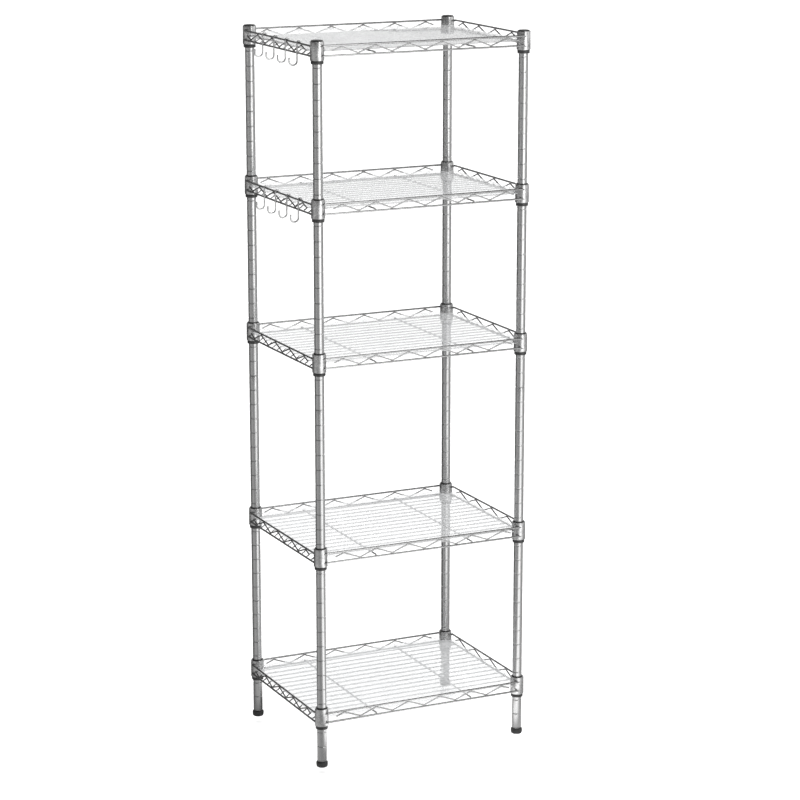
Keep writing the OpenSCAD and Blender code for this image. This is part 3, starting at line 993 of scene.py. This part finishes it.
def pale_floor():
    made, tree = staged("floor", square(FLOOR_SIZE))
    made.location.z = FLOOR_Z
    shader = tree.nodes["Principled BSDF"]
    white = (FLOOR_WHITE, FLOOR_WHITE, FLOOR_WHITE, 1)
    shader.inputs["Base Color"].default_value = white
    shader.inputs["Roughness"].default_value = 0.9
    shader.inputs["Specular IOR Level"].default_value = 0.0
    shader.inputs["Emission Color"].default_value = white
    shader.inputs["Emission Strength"].default_value = FLOOR_GLOW


def surround(tree, vector, brightness):
    """The studio's brightness in the direction of a vector, whatever its height."""
    turned = tree.nodes.new("ShaderNodeMapping")
    turned.inputs["Rotation"].default_value = (0, 0, math.pi / 2 + CAMERA_YAW)
    tree.links.new(vector, turned.inputs["Vector"])
    angle = tree.nodes.new("ShaderNodeTexGradient")
    angle.gradient_type = "RADIAL"
    tree.links.new(turned.outputs["Vector"], angle.inputs["Vector"])
    stops = [(a / 360 + 0.5, value) for a, value in brightness]
    return filled_ramp(tree, angle.outputs["Fac"], stops)


def mirror_floor():
    """What the metal mirrors of the studio floor. Neither the camera nor any matt surface sees it."""
    made, tree = staged("mirror_floor", square(MIRROR_SIZE))
    made.location.z = FLOOR_Z + MIRROR_LIFT
    made.visible_camera = False
    made.visible_diffuse = False
    made.visible_shadow = False
    place = tree.nodes.new("ShaderNodeNewGeometry").outputs["Position"]
    tree.links.new(surround(tree, place, FLOOR_RING), glow_only(tree))


def white_backdrop():
    """What the camera sees beyond the floor in low views. It lights nothing, and isn't mirrored."""
    mesh = bmesh.new()
    bmesh.ops.create_circle(mesh, segments=BACKDROP_SIDES, radius=BACKDROP_R)
    wall = bmesh.ops.extrude_edge_only(mesh, edges=mesh.edges[:])
    for item in wall["geom"]:
        if isinstance(item, bmesh.types.BMVert):
            item.co.z += BACKDROP_HEIGHT
    made, tree = staged("white_backdrop", mesh)
    made.visible_diffuse = False
    made.visible_glossy = False
    made.visible_shadow = False
    glow_only(tree)


def studio_sky():
    """The studio's walls, and a dim ceiling."""
    world = bpy.data.worlds.new("studio_sky")
    world.use_nodes = True
    tree = world.node_tree
    direction = tree.nodes.new("ShaderNodeTexCoord").outputs["Generated"]
    split = tree.nodes.new("ShaderNodeSeparateXYZ")
    tree.links.new(direction, split.inputs[0])
    height = filled_ramp(tree, split.outputs["Z"], WALL_HEIGHTS)
    shade = multiplied(tree, surround(tree, direction, WALL_RING), height)
    tree.links.new(shade, tree.nodes["Background"].inputs["Color"])
    return world


def lamp(name, kind, power, place, target):
    """A light at a place, turned to its target."""
    data = bpy.data.lights.new(name, kind)
    data.energy = power
    made = bpy.data.objects.new(name, data)
    made.location = place
    made.rotation_euler = (Vector(place) - Vector(target)).to_track_quat("Z", "Y").to_euler()
    bpy.context.scene.collection.objects.link(made)
    return made


def area_light(name, place, target, size, power):
    """A soft box, which the metal mirrors."""
    made = lamp(name, "AREA", power, place, target)
    made.data.shape = "RECTANGLE"
    made.data.size, made.data.size_y = size
    made.visible_camera = False


def soft_sun(name, place, power, spread):
    """Broad light for the matt surfaces, which the metal doesn't mirror."""
    made = lamp(name, "SUN", power, place, (0, 0, 0))
    made.data.angle = math.radians(spread)
    made.visible_glossy = False


pale_floor()
mirror_floor()
white_backdrop()
bpy.context.scene.world = studio_sky()
bpy.context.scene.view_settings.view_transform = "Standard"
area_light("key_strip", around(38, 1.7, 1.5), target=(0, 0, 0.75), size=(0.5, 2.4), power=10)
area_light("right_box", around(88, 2.6, 1.9), target=(0, 0, 0.6), size=(1.6, 1.6), power=8)
soft_sun("overhead_wash", (0, 0, 4), power=1.9, spread=80)
soft_sun("front_wash", around(-10, 3, 2.4), power=0.6, spread=70)
soft_sun("back_wash", around(165, 3, 2.4), power=0.5, spread=70)
